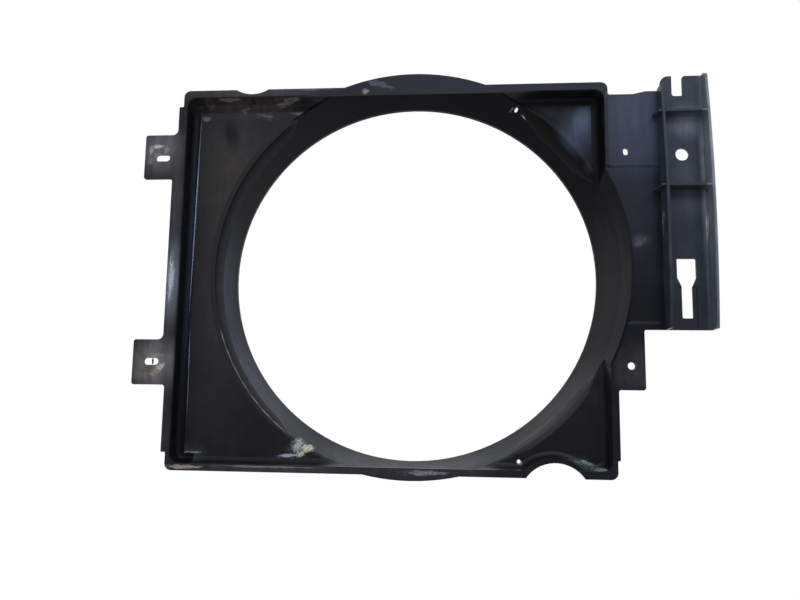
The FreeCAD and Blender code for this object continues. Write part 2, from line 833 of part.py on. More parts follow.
def make_channel_floor():
    """The floor of the bottle channel: finger, notch, round hole, keyhole and track."""
    finger_left = channel_left + S["channel_wall"]
    notch_left = channel_left + S["notch_from_left"]
    notch_right = notch_left + S["notch_width"]
    notch_bottom = channel_top - S["notch_depth"]
    body = plate("channel_floor", [
        (channel_left, plate_bottom), (channel_right, plate_bottom),
        (channel_right, channel_top), (notch_right, channel_top), (notch_right, notch_bottom),
        (notch_left, notch_bottom), (notch_left, channel_top), (finger_left, channel_top),
        (finger_left, inner_wall_top), (channel_left, inner_wall_top)], flange_back)
    fillet(body, depth_edge_near(*values([(finger_left, channel_top)])), S["finger_radius"])
    notch_corners = [(notch_right, channel_top), (channel_right, channel_top),
                     (notch_left, notch_bottom), (notch_right, notch_bottom)]
    fillet(body, depth_edge_near(*values(notch_corners)), S["notch_corner_radius"])
    round_hole(body, keyhole_x, upper_row - S["channel_hole_below_row"],
               S["channel_hole_diameter"])
    left, right = keyhole_x - S["keyhole_wide"] / 2, keyhole_x + S["keyhole_wide"] / 2
    narrow_left = keyhole_x - S["keyhole_narrow"] / 2
    narrow_right = keyhole_x + S["keyhole_narrow"] / 2
    bottom = plate_bottom + S["keyhole_from_bottom"]
    neck = bottom + S["keyhole_narrow_length"]
    shoulder = neck + S["keyhole_taper"]
    top = shoulder + S["keyhole_wide_length"]
    track = sketch_on(body, "XZ_Plane")
    outline(track, [(left, plate_bottom), (right, plate_bottom), (right, neck), (left, neck)])
    pocket(body, track, S["track_depth"])
    keyhole = sketch_on(body, "XZ_Plane")
    outline(keyhole, [
        (left, top), (right, top), (right, shoulder), (narrow_right, neck),
        (narrow_right, bottom), (narrow_left, bottom), (narrow_left, neck), (left, shoulder)])
    pocket(body, keyhole)
    corners = [(left, top), (right, top), (narrow_left, bottom), (narrow_right, bottom)]
    fillet(body, depth_edge_near(*values(corners)), S["keyhole_radius"])
    return body


def make_channel_wall(name, x, top, end_radius=None):
    """A wall of the channel: its free edge is a long bow, lower at both ends."""
    body = new_body(name)
    sketch = sketch_on(body, "YZ_Plane", x)
    outline(sketch, [
        (0.0, plate_bottom), (0.0, top), (-S["channel_height_top"], top),
        (-S["channel_height_bottom"], plate_bottom)],
        crest=2, crest_radius=S["channel_bow_radius"])
    pad(body, sketch, S["channel_wall"])
    if end_radius is not None:
        end = cross_edge_near(-S["channel_height_top"].value, top.value)
        fillet(body, end, end_radius)
    return body


def make_rib(name, left, right, height, depth, foot_width=0.0, seat=0.0):
    """A level rib that stands on a face at a depth, its left end widening to its foot."""
    body = new_body(name)
    sketch = sketch_on(body, "XY_Plane", height - S["rib_thickness"] / 2)
    outline(sketch, [(left, -depth), (right, -depth), (right, seat), (left - foot_width, seat)])
    pad(body, sketch, S["rib_thickness"])
    return body


def make_channel():
    """The channel on its floor: two bowed walls, two ribs and the webs that back them."""
    inner_left = channel_left + S["channel_wall"]
    inner_right = channel_right - S["channel_wall"]
    web_left = channel_left - S["rib_gusset_reach"]
    foot = S["rib_gusset_foot"]
    return [
        make_channel_floor(),
        make_channel_wall("channel_left_wall", channel_left, inner_wall_top),
        make_channel_wall("channel_right_wall", inner_right, channel_top,
                          S["wall_end_radius"]),
        make_rib("channel_rib_upper", inner_left, inner_right, upper_rib_z,
                 S["upper_rib_depth"]),
        make_rib("channel_rib_lower", inner_left, inner_right, lower_rib_z,
                 S["lower_rib_depth"]),
        make_rib("rib_web_upper", web_left, channel_left, upper_rib_z,
                 S["upper_rib_depth"], foot),
        make_rib("rib_web_lower", web_left, channel_left, lower_rib_z,
                 S["lower_rib_depth"], foot, S["plate_recess_depth"]),
    ]


air = make_air()
slab = make_slab()
recess = make_recess()
ring_filled = make_filled_ring()
upper_drain = make_drain("upper_drain", mouth_right - S["upper_drain_from_right"],
                         mouth_top - S["upper_drain_from_top"])
lower_drain = make_drain("lower_drain", mouth_right - S["lower_drain_from_right"],
                         mouth_bottom + S["lower_drain_from_bottom"])

# each collar and the flare have their own side of the ring
side = arch_x - S["collar_margin"]
far = ring_rim + CLEAR
top_filled = filled_collar("top_filled", top_bulge, flange_back, (-side, side), (side, far))
bottom_filled = filled_collar("bottom_filled", bottom_bulge, flange_back,
                              (-side, side), (-far, -side))
flare = filled_collar("flare_filled", ring_rim_outer, as_size(0.0), (side, far), (-far, far))

left_tabs = [
    make_left_tab("upper_left_tab", upper_row, S["upper_tab_rise"], S["upper_tab_fall"],
                  flange_left, strip_left),
    make_left_tab("lower_left_tab", lower_row, S["lower_tab_rise"], S["lower_tab_fall"],
                  strip_left, flange_left),
]
side_plate = make_side_plate(flare, recess)
parts = [
    make_flange(air, flare, recess, left_tabs + [side_plate]),
    *left_tabs,
    *make_walls(air, slab, lower_drain, [ring_filled, top_filled, bottom_filled, flare]),
    *make_panels(slab, lower_drain, ring_filled),
    make_ring(upper_drain),
    make_collar("top_collar", top_filled, top_bulge, flange_back, air),
    make_collar("bottom_collar", bottom_filled, bottom_bulge, flange_back, air),
    make_collar("right_flare", flare, ring_rim_outer, as_size(0.0), air),
    make_bead("rim_bead_left", S["left_bead_start"], S["left_bead_end"]),
    make_bead("rim_bead_lower_right", S["lower_bead_start"], S["lower_bead_end"]),
    make_shoulder(upper_drain),
    *make_gussets(ring_filled),
    make_right_tab(flare),
    side_plate,
    *make_channel(),
]

doc.recompute()
for item in doc.Objects:
    if "Invalid" in item.State or "Error" in item.State:
        raise RuntimeError(f"{item.Name} failed: {item.State}")
os.makedirs("parts", exist_ok=True)
for part in parts:
    part.Label = part.Name
    shape = part.Shape
    if shape.isNull() or not shape.isValid():
        raise RuntimeError(f"{part.Name} has no sound shape")
    print(f"{part.Label:24s} solids {len(shape.Solids)} volume {shape.Volume:10.1f}")
    shape.exportStep(f"parts/{part.Label}.step")
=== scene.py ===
"""Looks for a used radiator fan shroud, moulded in one piece in black plastic."""

import math

import bmesh
import bpy
from mathutils import Matrix, Vector


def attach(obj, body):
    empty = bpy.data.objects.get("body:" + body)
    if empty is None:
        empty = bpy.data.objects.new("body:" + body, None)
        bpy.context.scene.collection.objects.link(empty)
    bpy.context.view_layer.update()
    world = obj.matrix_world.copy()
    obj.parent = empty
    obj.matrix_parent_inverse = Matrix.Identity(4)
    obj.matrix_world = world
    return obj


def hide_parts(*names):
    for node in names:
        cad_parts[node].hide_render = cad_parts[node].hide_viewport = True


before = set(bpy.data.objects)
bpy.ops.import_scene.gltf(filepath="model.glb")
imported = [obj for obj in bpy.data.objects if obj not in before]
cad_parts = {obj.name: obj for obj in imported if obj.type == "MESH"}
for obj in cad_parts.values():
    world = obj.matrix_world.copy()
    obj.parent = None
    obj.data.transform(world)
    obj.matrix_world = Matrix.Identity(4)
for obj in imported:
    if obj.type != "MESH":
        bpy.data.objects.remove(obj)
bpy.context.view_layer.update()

MM = 0.001

# the fan ring's inner face: its radius and depth at its foot, and at its rear land
RING_FOOT = 245.5
FLOOR_DEPTH = 20.0
LAND_RADIUS = 228.0
LAND_DEPTH = 66.0
RING_SLOPE = (LAND_DEPTH - FLOOR_DEPTH) / (RING_FOOT - LAND_RADIUS)


# ---- materials ----

def linear(hex_colour):
    """An sRGB hex colour as linear RGBA."""
    parts = [int(hex_colour[i:i + 2], 16) / 255 for i in (1, 3, 5)]
    return [c / 12.92 if c <= 0.04045 else ((c + 0.055) / 1.055) ** 2.4 for c in parts] + [1.0]


def add_node(tree, kind, inputs=None, **settings):
    """Adds a node, sets its settings, and fills its sockets with values or links."""
    node = tree.nodes.new(kind)
    for name, value in settings.items():
        setattr(node, name, value)
    for key, value in (inputs or {}).items():
        if isinstance(value, bpy.types.NodeSocket):
            tree.links.new(value, node.inputs[key])
        else:
            node.inputs[key].default_value = value
    return node


def blank_material(name):
    """A material with an empty node tree."""
    material = bpy.data.materials.new(name)
    material.use_nodes = True
    material.node_tree.nodes.clear()
    return material


def unevenness(tree, place, size_mm, detail=3.0, roughness=0.55, stretch=(1.0, 1.0, 1.0)):
    """Noise whose blotches are about size_mm across."""
    scaled = add_node(tree, "ShaderNodeMapping", {"Vector": place, "Scale": stretch})
    return add_node(tree, "ShaderNodeTexNoise", {
        "Vector": scaled.outputs[0], "Scale": 1 / (size_mm * MM), "Detail": detail,
        "Roughness": roughness}).outputs[0]


def ease(tree, value, low, high, to_low=0.0, to_high=1.0):
    """Turns the values from low to high into to_low to to_high, with soft ends."""
    return add_node(tree, "ShaderNodeMapRange", {
        "Value": value, 1: low, 2: high, 3: to_low, 4: to_high},
        interpolation_type="SMOOTHSTEP").outputs[0]


def combine(tree, operation, *values):
    """Two or three values joined by a sum, a product or the like."""
    return add_node(tree, "ShaderNodeMath", dict(enumerate(values)),
                    operation=operation).outputs[0]


def lay_over(tree, amount, under, over):
    """One colour laid over another."""
    mix = add_node(tree, "ShaderNodeMix", {0: amount, 6: under, 7: over}, data_type="RGBA")
    return mix.outputs[2]


def oval(tree, place, centre, reach, turn):
    """An oval in mm: places in units of its reach, and how far inside it they lie."""
    local = add_node(tree, "ShaderNodeMapping", {
        "Vector": place, "Location": [c * MM for c in centre],
        "Rotation": (0.0, math.radians(-turn), 0.0), "Scale": [r * MM for r in reach]},
        vector_type="TEXTURE").outputs[0]
    far = add_node(tree, "ShaderNodeVectorMath", {0: local}, operation="LENGTH")
    return local, ease(tree, far.outputs["Value"], 1.0, 0.1)


def how_far_front(tree, normal):
    """1 where a surface faces the radiator's side, and 0 where it faces away."""
    facing = add_node(tree, "ShaderNodeVectorMath", {0: normal, 1: (0.0, -1.0, 0.0)},
                      operation="DOT_PRODUCT").outputs["Value"]
    return ease(tree, facing, -0.12, 0.05)


def fan_radius(tree, place):
    """The distance from the fan's axis."""
    flat = add_node(tree, "ShaderNodeVectorMath", {0: place, 1: (1.0, 0.0, 1.0)},
                    operation="MULTIPLY").outputs[0]
    return add_node(tree, "ShaderNodeVectorMath", {0: flat},
                    operation="LENGTH").outputs["Value"]


POLYPROPYLENE_IOR = 1.49
# the moulded grain's depth in mm and its strength, and how much streaks and scuffs add
GRAIN_DEPTH = 0.12
GRAIN_STRENGTH = 0.3
STREAK_RELIEF = 0.8
SCUFF_RELIEF = 2.0
# dulled plastic is rougher by this much, and scuffed plastic is as rough as this
DULLED_ROUGHNESS = 0.16
SCUFF_ROUGHNESS = 0.75
DUST = "#77777c"
DUST_STRENGTH = 0.2
# a scuff's streaks: their fineness, contrast and offset within its oval
SCUFF_SCALE = 3.2
SCUFF_CONTRAST = 2.4
SCUFF_OFFSET = -0.7
# where a scuff begins and where it covers fully, on the sum of its streaks and its oval
SCUFF_EDGE = 0.68
SCUFF_FULL = 1.05
# it fades in over this much of its oval
SCUFF_FADE = 0.35


def moulded_polypropylene(name, tint, haze, haze_amount, gloss, sheen, films=(),
                          scuffs_and_highlights=(), crest=None):
    """Talc-filled polypropylene, injection moulded and then used under a bonnet.

    To the eye it is a soft black that greys where dust and handling have dulled it, with
    a blurred sheen, a very fine moulded grain and no clean reflections. Darker skins have
    less sheen than handled ones; the top collar's near black is painted shade. Films and
    scuffs carry painted light, shade and highlights as well as dirt and wear. crest has the
    two radii in mm between which a bead turns from its dark tint, a painted shade, to its
    crest colour, a painted highlight, and that colour.
    """
    material = blank_material(name)
    tree = material.node_tree
    coordinates = add_node(tree, "ShaderNodeTexCoord")
    place = coordinates.outputs["Object"]
    # dirt and wear from the front don't show through to the back
    front = how_far_front(tree, coordinates.outputs["Normal"])
    # the plastic has dulled in broad patches and smaller clouds
    broad = unevenness(tree, place, 80.0)
    cloudy = unevenness(tree, place, 17.0, 5.0, 0.62)
    # streaks about 7 mm wide run up and down
    wipes = unevenness(tree, place, 7.0, 4.0, 0.62, (1.0, 1.0, 0.1))
    # settled dust breaks up over a couple of mm
    flecks = unevenness(tree, place, 2.2, 4.0, 0.7)
    # the spark-eroded grain of the mould is about 0.3 mm, drawn at 0.9 mm so that it shows
    grain = unevenness(tree, place, 0.9, 2.0, 0.5)

    dulled = combine(tree, "MULTIPLY", ease(tree, broad, 0.3, 0.72),
                     ease(tree, cloudy, 0.25, 0.75))
    dulled = combine(tree, "MULTIPLY", dulled, ease(tree, wipes, 0.35, 0.68, 0.55, 1.5))
    colour = lay_over(tree, combine(tree, "MULTIPLY", dulled, haze_amount),
                      linear(tint), linear(haze))
    dust = combine(tree, "MULTIPLY", ease(tree, flecks, 0.58, 0.76),
                   ease(tree, cloudy, 0.42, 0.72))
    colour = lay_over(tree, combine(tree, "MULTIPLY", dust, DUST_STRENGTH), colour,
                      linear(DUST))
    rough = combine(tree, "MULTIPLY_ADD", dulled, DULLED_ROUGHNESS, gloss)
    relief = combine(tree, "MULTIPLY_ADD", wipes, STREAK_RELIEF, grain)
    if crest is not None:
        # painted highlight and shade: the crest is painted paler than the steep face below it,
        # which keeps the dark tint as painted shade
        inner, outer, highlight_paint = crest
        amount = ease(tree, fan_radius(tree, place), inner * MM, outer * MM)
        colour = lay_over(tree, amount, colour, linear(highlight_paint))
    # films of dust or soot, and films of painted light and shade, fade out at their edges
    thickness = combine(tree, "MULTIPLY", ease(tree, cloudy, 0.3, 0.7, 0.72, 1.1),
                        ease(tree, wipes, 0.35, 0.65, 0.78, 1.12))
    thickness = combine(tree, "MULTIPLY", thickness, front)
    for centre, reach, turn, paint, strength in films:
        inside = oval(tree, place, centre, reach, turn)[1]
        covered = combine(tree, "MULTIPLY", combine(tree, "MULTIPLY", inside, thickness),
                          strength)
        colour = lay_over(tree, covered, colour, linear(paint))
    # scuffs and scrapes, and highlights painted like scuffs, are streaked and broken
    broken = combine(tree, "MULTIPLY", ease(tree, flecks, 0.38, 0.6, 0.5, 1.0), front)
    for centre, reach, turn, cover, paint, strength in scuffs_and_highlights:
        local, inside = oval(tree, place, centre, reach, turn)
        streaks = add_node(tree, "ShaderNodeTexNoise", {
            "Vector": local, "Scale": SCUFF_SCALE, "Detail": 6.0, "Roughness": 0.7}).outputs[0]
        streaks = combine(tree, "MULTIPLY_ADD", streaks, SCUFF_CONTRAST, SCUFF_OFFSET)
        wear_and_highlight = ease(tree, combine(tree, "MULTIPLY_ADD", inside, cover, streaks),
                    SCUFF_EDGE, SCUFF_FULL)
        wear_and_highlight = combine(tree, "MULTIPLY", wear_and_highlight,
                       ease(tree, inside, 0.0, SCUFF_FADE, 0.0, strength))
        wear_and_highlight = combine(tree, "MULTIPLY", wear_and_highlight, broken)
        colour = lay_over(tree, wear_and_highlight, colour, linear(paint))
        rough = combine(tree, "MAXIMUM", rough,
                        combine(tree, "MULTIPLY", wear_and_highlight, SCUFF_ROUGHNESS))
        relief = combine(tree, "MULTIPLY_ADD", wear_and_highlight, SCUFF_RELIEF, relief)
    bump = add_node(tree, "ShaderNodeBump", {
        "Height": relief, "Strength": GRAIN_STRENGTH, "Distance": GRAIN_DEPTH * MM})
    skin = add_node(tree, "ShaderNodeBsdfPrincipled", {
        "Base Color": colour, "Roughness": rough, "Normal": bump.outputs[0],
        "IOR": POLYPROPYLENE_IOR, "Specular IOR Level": sheen, "Metallic": 0.0})
    add_node(tree, "ShaderNodeOutputMaterial", {"Surface": skin.outputs[0]})
    return material


# painted highlights along the crest of a bead: their depth, and their reach, in mm
CREST_HIGHLIGHT_DEPTH = 19
CREST_HIGHLIGHT_REACH = (17, 8, 1.1)


def crest_highlights(angles, first_radius, last_radius, cover, paint, strength):
    """Painted highlights, laid like scuffs end to end along the crest of the left bead, at
    these angles in degrees.
    """
    highlights = []
    for number, angle in enumerate(angles):
        part = number / (len(angles) - 1)
        radius = first_radius + (last_radius - first_radius) * part
        around = math.radians(angle)
        centre = (radius * math.cos(around), CREST_HIGHLIGHT_DEPTH, radius * math.sin(around))
        highlights.append((centre, CREST_HIGHLIGHT_REACH, angle + 90, cover, paint, strength))
    return highlights


# A film is its middle and its reach in mm, in x, depth and height, then its turn in the
# plane of the radiator in degrees, its colour and its strength. A scuff also has how well
# it covers, before its colour.

# baked dirt in the top left corner, over the wall and the field
CORNER_FILM = [((-210, 10, 212), (105, 34, 22), 0, "#3f3935", 0.95)]
CORNER_DIRT = [
    ((-258, 8, 212), (16, 20, 9), 0, 0.75, "#5a4a34", 0.9),
    ((-236, 4, 219), (28, 18, 6), -12, 0.7, "#857c70", 0.85),
    ((-214, 10, 207), (20, 18, 9), 24, 0.7, "#746b61", 0.85),
    ((-204, 10, 214), (16, 18, 4), 50, 0.7, "#1d1a18", 0.9),
    ((-188, 14, 200), (28, 14, 7), -12, 0.7, "#68625d", 0.8),
    ((-165, 8, 213), (38, 18, 7), 8, 0.65, "#7a746d", 0.8),
    ((-228, 14, 203), (26, 14, 3), -6, 0.6, "#26221f", 0.9),
    ((-138, 19, 203), (26, 12, 4), -4, 0.65, "#8f897e", 0.8),
    ((-264, 18, 199), (10, 10, 6), 0, 0.7, "#7f7860", 0.85),
]
# painted highlight: the fillet at the foot of the left wall has a bright painted line, and
# painted bluish light from there to the wall
LEFT_FOOT_PAINTED_LIGHT = [((-276, 14, 10), (3.6, 14, 230), 0, "#222e47", 0.8)]
LEFT_FOOT_HIGHLIGHT = [
    ((-272.3, 18, 80), (1.3, 9, 185), -0.7, 0.85, "#a8b4c8", 0.9),
    ((-271.3, 18, -110), (1.0, 9, 110), 0.8, 0.6, "#8d96a4", 0.85),
]
# a paint-like scrape across the ring's foot at its lower left, yellower in its middle
PAINT_SCRAPE = [
    ((-131, 22, -212), (27, 16, 17), 35, 0.5, "#6c7375", 0.85),
    ((-134, 22, -210), (8, 16, 17), -20, 0.7, "#c2c8bd", 0.9),
    ((-122, 22, -214), (13, 16, 8), 15, 0.8, "#e0dfc2", 1.0),
    ((-130, 22, -221), (9, 16, 6), 20, 0.7, "#d3d7bd", 0.95),
    ((-145, 20, -223), (19, 14, 3.5), 4, 0.7, "#b9c5cf", 0.9),
]
# painted highlight: the crest of the left bead is painted pale grey at its lower end
BEAD_CREST_HIGHLIGHT = crest_highlights(range(200, 233, 5), first_radius=244.5, last_radius=245.7,
                       cover=1.0, paint="#8d888b", strength=0.8)
TRAY_FILMS = CORNER_FILM + LEFT_FOOT_PAINTED_LIGHT + [
    # dust hazes the left field, brown above and grey below
    ((-225, 20, 120), (66, 14, 130), 0, "#38332f", 0.8),
    ((-232, 20, -30), (50, 14, 150), 0, "#323030", 0.8),
    ((-235, 20, -160), (60, 14, 100), 0, "#232223", 0.7),
    # a bluish haze in the lower left corner, and a greenish one on the hose arch
    ((-266, 17, -224), (30, 14, 18), 0, "#3a4149", 0.8),
    ((196, 12, -226), (32, 18, 12), -18, "#4a574c", 0.8),
    # a sooty mark the size of a thumb
    ((-231, 20, 178), (15, 12, 32), 12, "#000000", 1.0),
]
TRAY_SCUFFS_AND_HIGHLIGHTS = CORNER_DIRT + LEFT_FOOT_HIGHLIGHT + PAINT_SCRAPE + [
    # greenish residue on the hose arch
    ((200, 12, -225), (26, 16, 6), -18, 0.8, "#93a48e", 0.9),
    ((213, 8, -231), (20, 16, 5), -14, 0.7, "#b4c2b0", 0.85),
    ((203, 14, -229), (8, 14, 2.5), -16, 0.7, "#131816", 0.9),
    # scuffs in the lower left corner and round the drain hole
    ((-275, 15, -226), (13, 14, 5), 40, 0.9, "#cfd8e2", 0.95),
    ((-268, 15, -230), (12, 14, 4), 15, 0.8, "#a9b4bf", 0.9),
    ((-258, 18, -221), (20, 10, 2.5), 0, 0.5, "#9da4ab", 0.8),
    ((126, 15, -226), (6, 12, 4), 0, 0.8, "#c9b9ae", 0.9),
]
# painted reflection: the pocket's floor is painted pale bluish in the corner away from the
# ring, where the lamp's reflection falls, with a small brownish patch below it
POCKET_PAINTED_REFLECTION_AND_PATCH = [
    ((198, 20, 173), (33, 12, 52), -28, "#3c4658", 0.92),
    ((206, 20, 188), (18, 12, 26), -20, "#5a677c", 0.7),
    ((209, 20, 127), (8, 10, 15), 0, "#2e2522", 0.9),
]
# a scratch along the foot of the top wall
POCKET_SCUFFS = [((158, 18, 210), (26, 12, 1.1), 2, 1.2, "#a1967f", 0.8)]
# painted light and shade on the ring: painted paler grey on its lower half and sides,
# which face up towards the light, and painted near black at its top, which faces down
RING_PAINTED_LIGHT_AND_SHADE = [
    ((-195, 35, -140), (120, 60, 150), 0, "#4d525b", 0.95),
    ((-244, 35, -20), (50, 60, 140), 0, "#3a404c", 0.85),
    ((0, 35, -240), (230, 60, 75), 0, "#57595d", 0.95),
    ((180, 35, -160), (100, 60, 130), 0, "#3f3f41", 0.85),
    ((240, 35, 0), (60, 60, 120), 0, "#2e2d31", 0.8),
    ((0, 35, 240), (250, 60, 110), 0, "#050506", 0.95),
]
# two scratches beside the drain hole at the top
RING_SCRATCHES = [
    ((141, 32, 195), (15, 9, 1.0), -37, 1.2, "#c9c0ae", 0.9),
    ((121, 32, 209), (7, 9, 1.6), 20, 0.8, "#8d867a", 0.7),
]
BRIM_FILMS = [
    # handling dust on the tabs and along the left, top and bottom of the brim
    ((-314, 0, 150), (40, 6, 46), 0, "#6a666a", 0.95),
    ((-306, 0, -118), (46, 6, 50), 0, "#74706c", 0.95),
    ((-291, 0, -15), (14, 6, 80), 0, "#767b84", 0.95),
    ((-291, 0, 90), (14, 6, 110), 0, "#3d3d41", 0.85),
    ((-291, 0, -190), (14, 6, 100), 0, "#303237", 0.9),
    ((-200, 0, 228), (130, 6, 24), 0, "#4b474b", 0.9),
    ((-150, 0, -238), (170, 6, 18), 0, "#3f3c3d", 0.95),
    ((20, 0, -238), (120, 6, 18), 0, "#37363a", 0.9),
    ((300, 0, -240), (170, 6, 18), 0, "#232426", 0.8),
]
BRIM_SCUFFS = [
    # rubbed grey round the slots, with brown dirt below the lower one
    ((-318, 0, 154), (12, 4, 4), 4, 0.75, "#c8c6c3", 0.9),
    ((-326, 0, 149), (5, 4, 10), 0, 0.6, "#a8a6a2", 0.85),
    ((-307, 0, 150), (6, 4, 8), 0, 0.5, "#98968f", 0.8),
    ((-318, 0, 143), (14, 4, 5), 0, 0.5, "#8a8886", 0.8),
    ((-326, 0, 136), (7, 4, 9), 0, 0.5, "#8a8886", 0.7),
    ((-299, 0, -121), (10, 4, 6), 35, 0.75, "#c2b8a4", 0.9),
    ((-312, 0, -122), (14, 4, 8), 40, 0.6, "#57493a", 0.85),
    ((-306, 0, -128), (14, 4, 7), 10, 0.5, "#9a8f80", 0.8),
    ((-306, 0, -107), (18, 4, 5), 0, 0.5, "#8d8981", 0.8),
    # rubs along the brim: left, bottom and top
    ((-292, 0, -12), (6, 4, 46), 0, 0.6, "#c2c7cf", 0.85),
    ((-265, 0, -238), (34, 4, 4), 0, 0.7, "#a89c8c", 0.9),
    ((-170, 0, -236), (100, 4, 2), 0, 0.6, "#8a8279", 0.85),
    ((17, 0, -239), (40, 4, 5), 0, 0.6, "#88878b", 0.85),
    ((-60, 0, 221), (7, 4, 6), 0, 0.6, "#a5a3a0", 0.85),
    ((-45, 0, 231), (34, 4, 8), -20, 0.5, "#646979", 0.75),
    ((-232, 0, 229), (44, 4, 4), 0, 0.5, "#8b878b", 0.75),
    ((-120, 0, 226), (60, 4, 4), 0, 0.45, "#7b777b", 0.75),
]
# painted light and shade on the side plate: a bluish painted reflection above, painted
# shade below, and a pale line painted along the top of its recess to lighten the step's
# shade; also a grey mark in the middle and a greyish-brown film on the tab
PLATE_LIGHT_SHADE_AND_MARKS = [
    ((262, 3, 190), (70, 12, 95), 0, "#3d4759", 0.95),
    ((262, 3, 140), (60, 12, 40), 0, "#333c4c", 0.8),
    ((258, 3, 122.9), (60, 12, 2.4), 0, "#414958", 0.8),
    ((262, 1, 32), (15, 6, 12), 20, "#45444a", 0.8),
    ((255, 3, -50), (60, 12, 70), 0, "#0b0c0d", 0.8),
    ((252, 0, -120), (40, 6, 44), 0, "#383536", 0.9),
]
PLATE_SCUFFS = [((262, 1, 30), (14, 4, 7), 20, 0.5, "#5f5c5c", 0.6)]
BOTTLE_PAINTED_LIGHT_AND_SHADE = [
    # painted light: the outer wall, whose inner face faces the lamp, is painted paler than the
    # rest
    ((341, -8, 120), (11, 34, 240), 0, "#9ba1a7", 0.95),
    ((341, -8, -60), (9, 30, 110), 0, "#666b70", 0.9),
    # the channel's floor is painted dark low down as shade, and paler above as light that
    # lifts the shade under the upper rib
    ((311, 0, -60), (28, 6, 60), 0, "#262a2e", 0.85),
    ((325, 0, 176), (40, 14, 30), 0, "#6f7680", 0.95),
    ((318, 0, 95), (20, 6, 50), 0, "#4f565f", 0.7),
]
# painted highlights: bright lines painted along the edges of the channel's two walls
BOTTLE_EDGE_HIGHLIGHTS = [
    ((337.5, -2, 50), (1.5, 8, 36), 0, 0.6, "#d8dbdd", 0.9),
    ((289, -4, 52), (2.0, 10, 26), 0, 0.6, "#d8dbdd", 0.9),
]

tray_skin = moulded_polypropylene(
    "moulded_polypropylene_dusty_tray", "#151416", "#262423",
    haze_amount=0.8, gloss=0.38, sheen=0.45, films=TRAY_FILMS, scuffs_and_highlights=TRAY_SCUFFS_AND_HIGHLIGHTS)
# the walls have a darker tint and less sheen than the tray
wall_skin = moulded_polypropylene(
    "moulded_polypropylene_dark_walls", "#08090c", "#121316",
    haze_amount=0.7, gloss=0.42, sheen=0.22,
    films=CORNER_FILM + LEFT_FOOT_PAINTED_LIGHT, scuffs_and_highlights=CORNER_DIRT + LEFT_FOOT_HIGHLIGHT)
# the pocket's skin carries a painted reflection of the lamp
pocket_skin = moulded_polypropylene(
    "moulded_polypropylene_pocket_painted_reflection", "#09090a", "#0e0e10",
    haze_amount=0.7, gloss=0.34, sheen=0.22, films=POCKET_PAINTED_REFLECTION_AND_PATCH, scuffs_and_highlights=POCKET_SCUFFS)
ring_skin = moulded_polypropylene(
    "moulded_polypropylene_fan_ring", "#0e0f11", "#1a1b1e",
    haze_amount=0.7, gloss=0.42, sheen=0.16,
    films=RING_PAINTED_LIGHT_AND_SHADE, scuffs_and_highlights=PAINT_SCRAPE + RING_SCRATCHES)
# painted shade: the top collar faces down and is painted near black, with little sheen
collar_skin = moulded_polypropylene(
    "moulded_polypropylene_collar_painted_shade", "#070708", "#0e0e0f",
    haze_amount=0.7, gloss=0.62, sheen=0.1)
brim_skin = moulded_polypropylene(
    "moulded_polypropylene_handled_brim", "#18181b", "#2c2a2e",
    haze_amount=0.9, gloss=0.32, sheen=0.33, films=BRIM_FILMS, scuffs_and_highlights=BRIM_SCUFFS)
plate_skin = moulded_polypropylene(
    "moulded_polypropylene_side_plate", "#14161a", "#1f2229",
    haze_amount=0.9, gloss=0.32, sheen=0.36, films=PLATE_LIGHT_SHADE_AND_MARKS, scuffs_and_highlights=PLATE_SCUFFS)
bottle_skin = moulded_polypropylene(
    "moulded_polypropylene_bottle_channel", "#2d3137", "#42474f",
    haze_amount=0.9, gloss=0.34, sheen=0.34, films=BOTTLE_PAINTED_LIGHT_AND_SHADE, scuffs_and_highlights=BOTTLE_EDGE_HIGHLIGHTS)
# the left bead's dark bluish tint is painted shade on its steep inner face, and its crest
# colour a painted highlight
left_bead_skin = moulded_polypropylene(
    "moulded_polypropylene_left_bead", "#0e1219", "#171c25",
    haze_amount=0.8, gloss=0.45, sheen=0.1,
    scuffs_and_highlights=PAINT_SCRAPE + BEAD_CREST_HIGHLIGHT, crest=(242.8, 244.4, "#312d2b"))
# the right bead's dark tint is painted shade on its steep inner face, and its crest colour a
# painted highlight
right_bead_skin = moulded_polypropylene(
    "moulded_polypropylene_right_bead", "#101012", "#161618",
    haze_amount=0.7, gloss=0.4, sheen=0.2, crest=(242.0, 246.0, "#3b3b3e"))
caked_dirt = moulded_polypropylene(
    "oily_road_dirt", "#1d1a17", "#3a332b", haze_amount=0.9, gloss=0.6, sheen=0.2)

FINISHES = [
    (brim_skin, ("mouth_flange", "upper_left_tab", "lower_left_tab")),
    (plate_skin, ("side_plate", "lower_right_tab")),
    (wall_skin, ("left_wall", "top_wall_left", "top_wall_right", "right_wall_upper")),
    (tray_skin, ("back_panel", "right_wall_lower", "hose_arch", "bottom_wall_right",
                 "bottom_wall_left", "lower_right_pocket",
                 *(f"ring_gusset_{number}" for number in range(1, 6)))),
    (pocket_skin, ("upper_right_pocket", "pocket_shoulder")),
    (ring_skin, ("fan_ring", "right_flare", "bottom_collar")),
    (collar_skin, ("top_collar",)),
    (bottle_skin, ("channel_floor", "channel_left_wall", "channel_right_wall",
                   "channel_rib_upper", "channel_rib_lower", "rib_web_upper",
                   "rib_web_lower")),
    (left_bead_skin, ("rim_bead_left",)),
    (right_bead_skin, ("rim_bead_lower_right",)),
]
for skin, nodes in FINISHES:
    for node in nodes:
        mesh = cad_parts[node].data
        mesh.materials.clear()
        mesh.materials.append(skin)


# ---- pieces ----

def place_piece(name, form, skin):
    """An object that holds a form in one material, in the scene."""
    mesh = bpy.data.meshes.new(name)
    form.to_mesh(mesh)
    form.free()
    mesh.materials.append(skin)
    piece = bpy.data.objects.new(name, mesh)
    bpy.context.scene.collection.objects.link(piece)
    return piece


# ---- the ring's rounded edges ----

def part_way(value):
    """A value held between 0 and 1."""
    return min(max(value, 0.0), 1.0)


